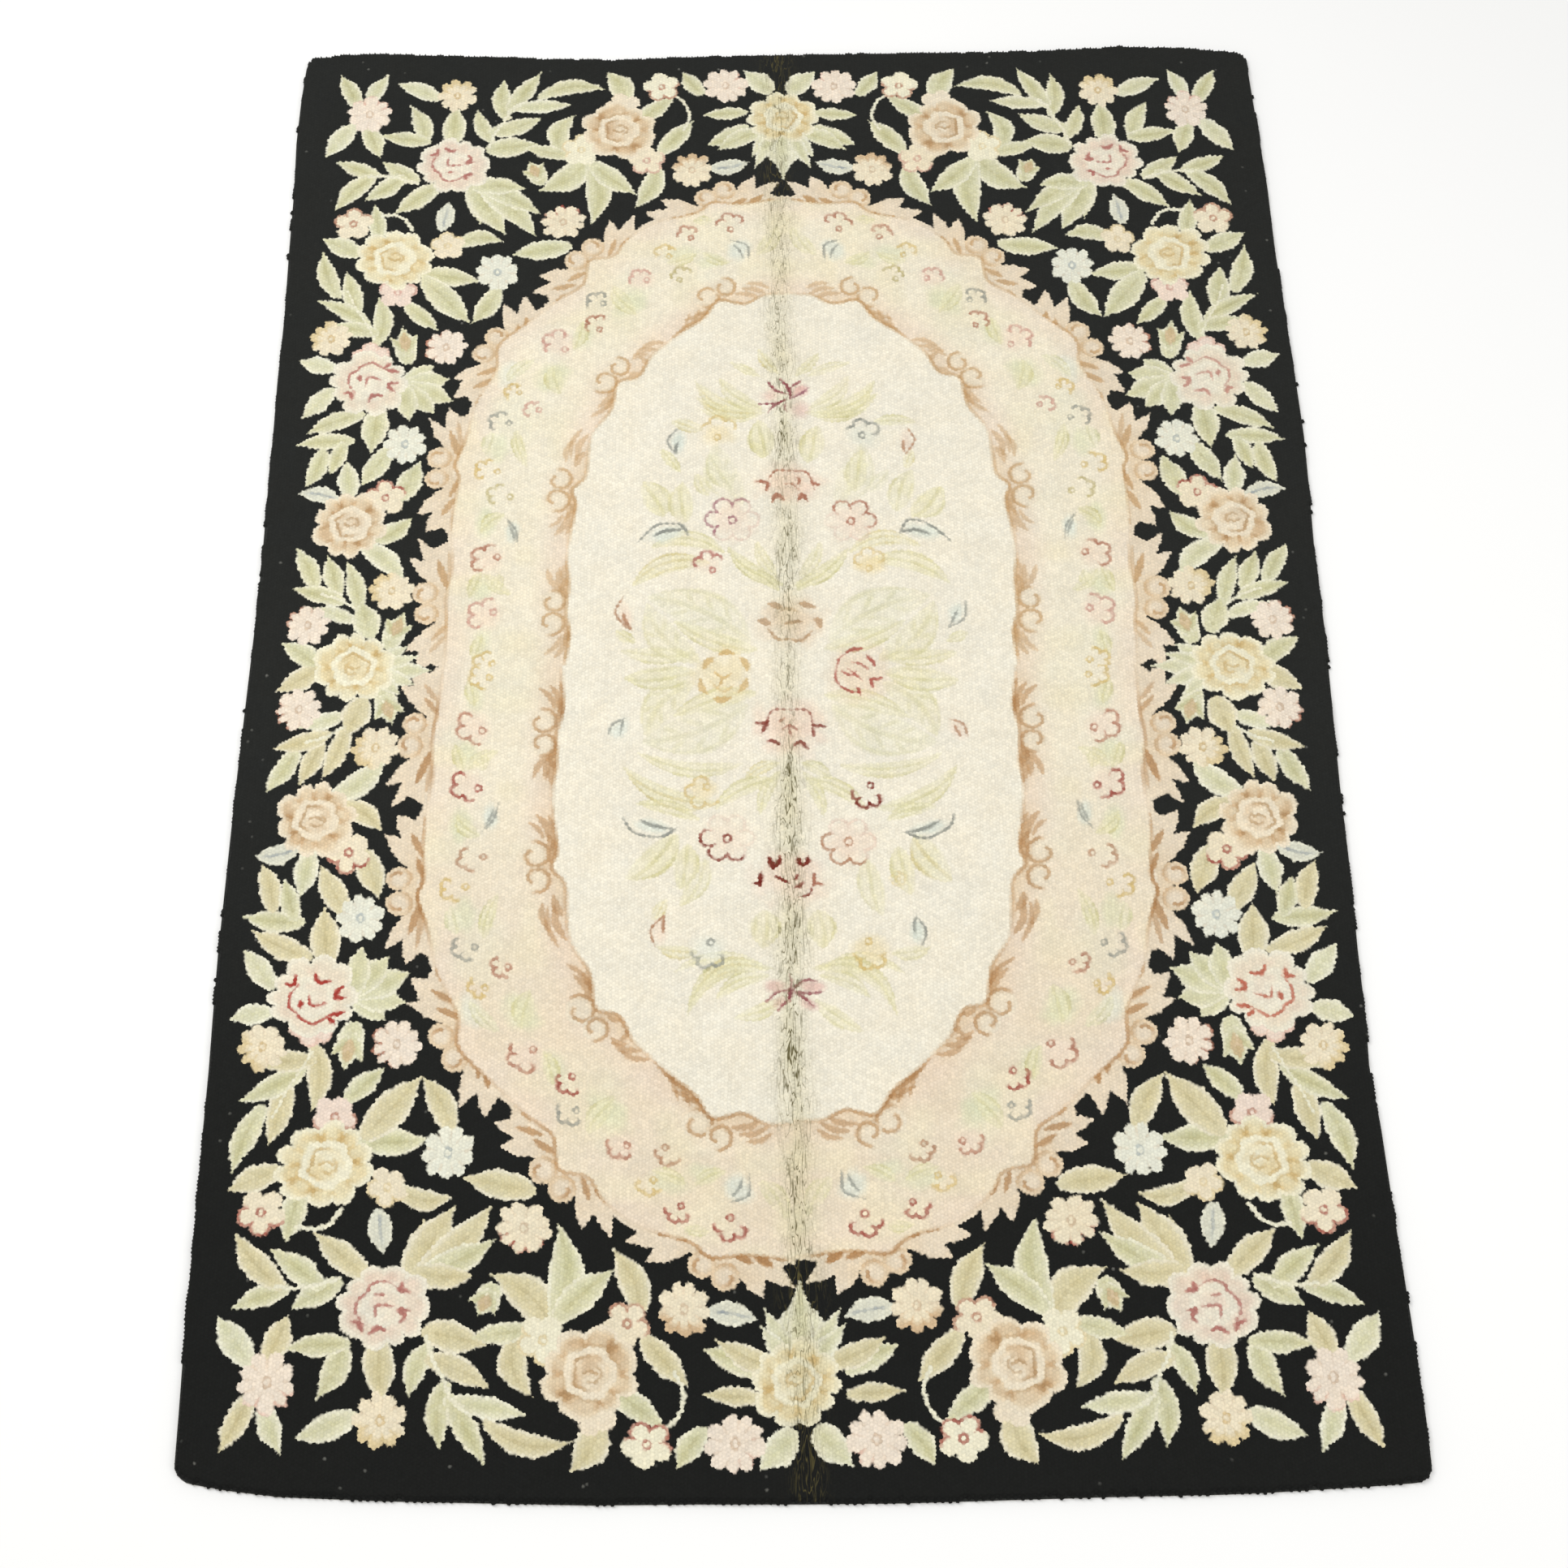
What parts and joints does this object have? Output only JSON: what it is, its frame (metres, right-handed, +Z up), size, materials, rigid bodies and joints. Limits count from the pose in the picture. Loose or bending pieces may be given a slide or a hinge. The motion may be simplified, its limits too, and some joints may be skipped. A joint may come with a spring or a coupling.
{
  "type": "hooked rug",
  "caption": "Oblong hooked rug of looped wool pile with a black floral border and a scrolled oval centre, lying flat with a soft fold line along its middle.",
  "frame": {"origin": "middle of the flat underside, on the floor, under the middle of the outline's box", "axes": "+X across the rug to the right in the picture, +Y along the rug towards the picture's top, +Z up out of the pile"},
  "size_m": [1.2306, 1.8684, 0.0117],
  "materials": {
    "wool_pile": "matte looped wool pile"
  },
  "bodies": {
    "root": {"rug": "wool_pile"}
  },
  "joints": []
}
